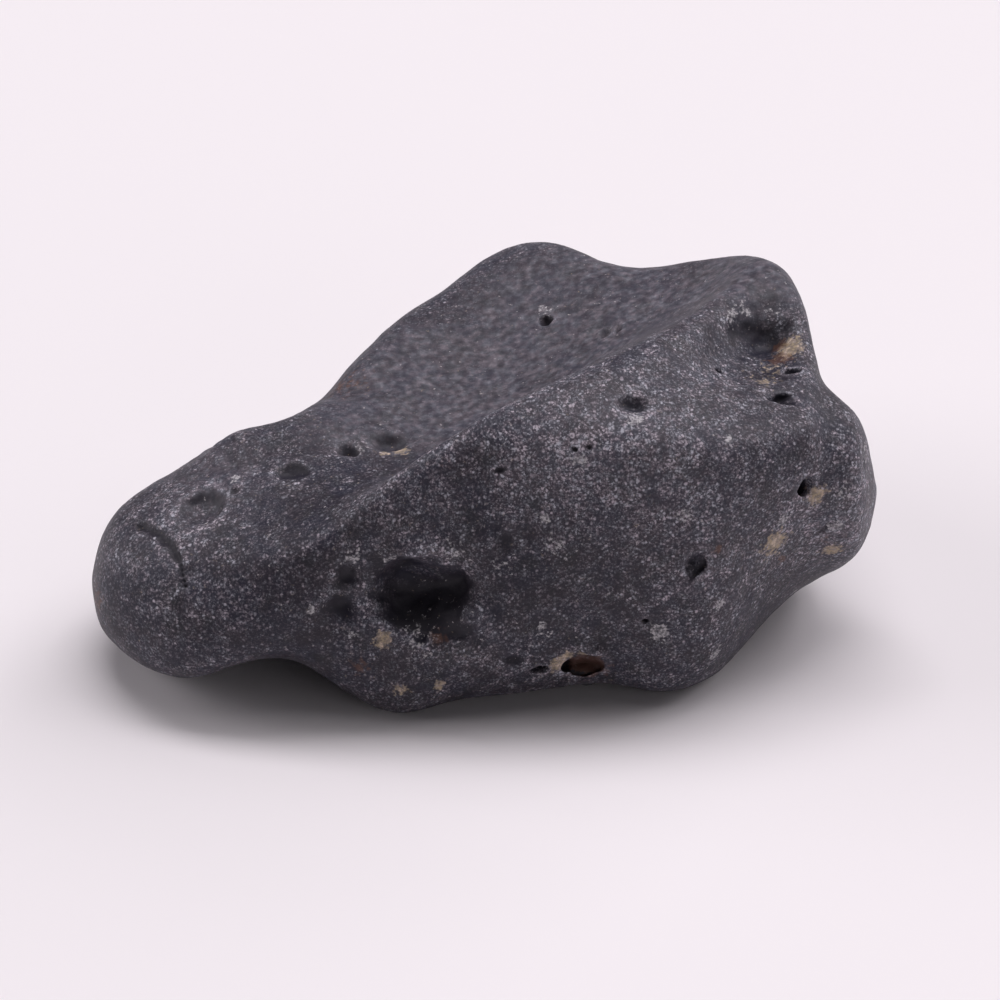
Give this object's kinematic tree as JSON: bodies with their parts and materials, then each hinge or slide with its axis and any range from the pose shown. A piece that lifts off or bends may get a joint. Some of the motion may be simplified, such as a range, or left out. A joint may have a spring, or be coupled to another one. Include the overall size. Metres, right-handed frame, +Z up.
{
  "type": "tektite",
  "caption": "Natural lump of black glass: a lobed, pitted pebble with a slanting crest over a rear shelf, standing on small flat spots.",
  "frame": {"origin": "middle of the bounding box, at the level of the surface that the stone rests on", "axes": "+X along the stone towards its broad lobed end, +Y away from its tall front face, +Z up"},
  "size_m": [0.0396, 0.0278, 0.0174],
  "materials": {
    "black_glass": "frosted"
  },
  "bodies": {
    "root": {"tektite": "black_glass"}
  },
  "joints": []
}
